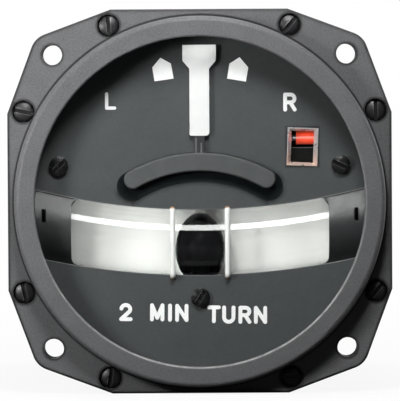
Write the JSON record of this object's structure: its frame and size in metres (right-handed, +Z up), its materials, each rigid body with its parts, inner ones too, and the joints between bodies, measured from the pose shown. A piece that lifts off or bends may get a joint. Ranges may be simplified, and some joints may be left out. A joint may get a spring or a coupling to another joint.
{
  "type": "aircraft turn and slip indicator",
  "caption": "Panel instrument with a round dial in a square flange: a turn pointer driven by a gyro, a ball in a bent glass tube, a power warning flag and a rear connector.",
  "frame": {"origin": "centre of the panel-hole pattern, on the front face of the flange", "axes": "X to the right of the dial, Y back into the panel along the case, Z up"},
  "size_m": [0.0822, 0.1294, 0.0822],
  "materials": {
    "bezel_grey": "satin dark grey enamel on cast metal",
    "case_grey": "satin black enamel on a drawn metal case",
    "black_steel": "black oxide steel",
    "clear_glass": "clear polished glass",
    "black_rubber": "soft black rubber",
    "dial_charcoal": "matt charcoal paint",
    "white_enamel": "matt white enamel",
    "black_plastic": "matt black moulding",
    "black_ball": "polished black ball",
    "bright_nickel": "bright nickel",
    "flag_red": "red enamel",
    "steel": "machined steel",
    "frame_aluminium": "machined aluminium",
    "brass": "turned brass",
    "copper_winding": "lacquered copper winding",
    "insulator": "moulded insulator"
  },
  "bodies": {
    "housing": {"front_bezel": "bezel_grey", "case": "case_grey", "rear_cover": "case_grey", "bezel_screws": "black_steel", "dial_screws": "black_steel", "rear_cover_screws": "black_steel", "adjuster_plug": "black_steel", "cover_glass": "clear_glass", "inclinometer_tube": "clear_glass", "glass_gasket": "black_rubber", "flange_gasket": "black_rubber", "rear_gasket": "black_rubber", "upper_dial": "dial_charcoal", "lower_dial": "dial_charcoal", "pointer_shield": "dial_charcoal", "glass_retainer": "dial_charcoal", "tube_backing": "white_enamel", "marker_wires": "white_enamel", "slot_plate": "black_plastic", "tube_end_cap_left": "black_plastic", "tube_end_cap_right": "black_plastic", "flag_bracket": "black_plastic", "flag_window_frame": "bright_nickel", "shield_posts": "bright_nickel", "frame_screws": "steel", "pillar_screws": "steel", "gimbal_bearings": "steel", "spring_adjuster": "steel", "centering_spring": "steel", "connector_screws": "steel", "front_frame": "frame_aluminium", "rear_frame": "frame_aluminium", "frame_pillars": "frame_aluminium", "connector_shell": "frame_aluminium", "dial_posts": "brass", "pivot_post": "brass", "damper_cylinder": "brass", "connector_pins": "brass", "flag_coil": "copper_winding", "connector_insert": "insulator"},
    "gimbal_frame": {"gimbal": "frame_aluminium", "gimbal_pivots": "steel", "drive_pin": "steel", "damper_pin": "steel", "rotor_bearings": "steel", "motor_stator": "steel", "stator_coil": "copper_winding"},
    "rotor": {"gyro_rotor": "brass", "rotor_shaft": "steel"},
    "turn_pointer": {"pointer": "white_enamel", "pointer_arm": "frame_aluminium"},
    "ball": {"slip_ball": "black_ball"},
    "warning_flag": {"flag_drum": "flag_red", "flag_shaft": "steel", "flag_magnet": "steel"},
    "piston": {"damper_piston": "steel"}
  },
  "joints": [
    {"name": "gimbal_tilt", "type": "hinge", "parent": "housing", "child": "gimbal_frame", "pos_m": [0, 0.058, 0], "axis": [0, 1, 0], "range_deg": [-16, 16], "stiffness_Nm_per_rad": 0.05, "deforming": ["centering_spring"]},
    {"name": "rotor_spin", "type": "hinge", "parent": "gimbal_frame", "child": "rotor", "pos_m": [0, 0.058, 0], "axis": [1, 0, 0], "continuous": true},
    {"name": "pointer_swing", "type": "hinge", "parent": "housing", "child": "turn_pointer", "pos_m": [0, 0.0209, -0.0208], "axis": [0, 1, 0], "range_deg": [-14.88, 14.88]},
    {"name": "ball_roll", "type": "hinge", "parent": "housing", "child": "ball", "pos_m": [0, 0.0114, 0.14103], "axis": [0, 1, 0], "range_deg": [-10, 10]},
    {"name": "flag_turn", "type": "hinge", "parent": "housing", "child": "warning_flag", "pos_m": [0.0221, 0.0081, 0.0134], "axis": [1, 0, 0], "range_deg": [0, 180], "stiffness_Nm_per_rad": 0.0005},
    {"name": "damper_slide", "type": "slide", "parent": "housing", "child": "piston", "axis": [0, 0, 1], "range_m": [-0.004, 0.004]}
  ],
  "couplings": [
    {"joint": "pointer_swing", "follows": "gimbal_tilt", "ratio": -0.93},
    {"joint": "damper_slide", "follows": "gimbal_tilt", "m_per_rad": -0.014}
  ]
}
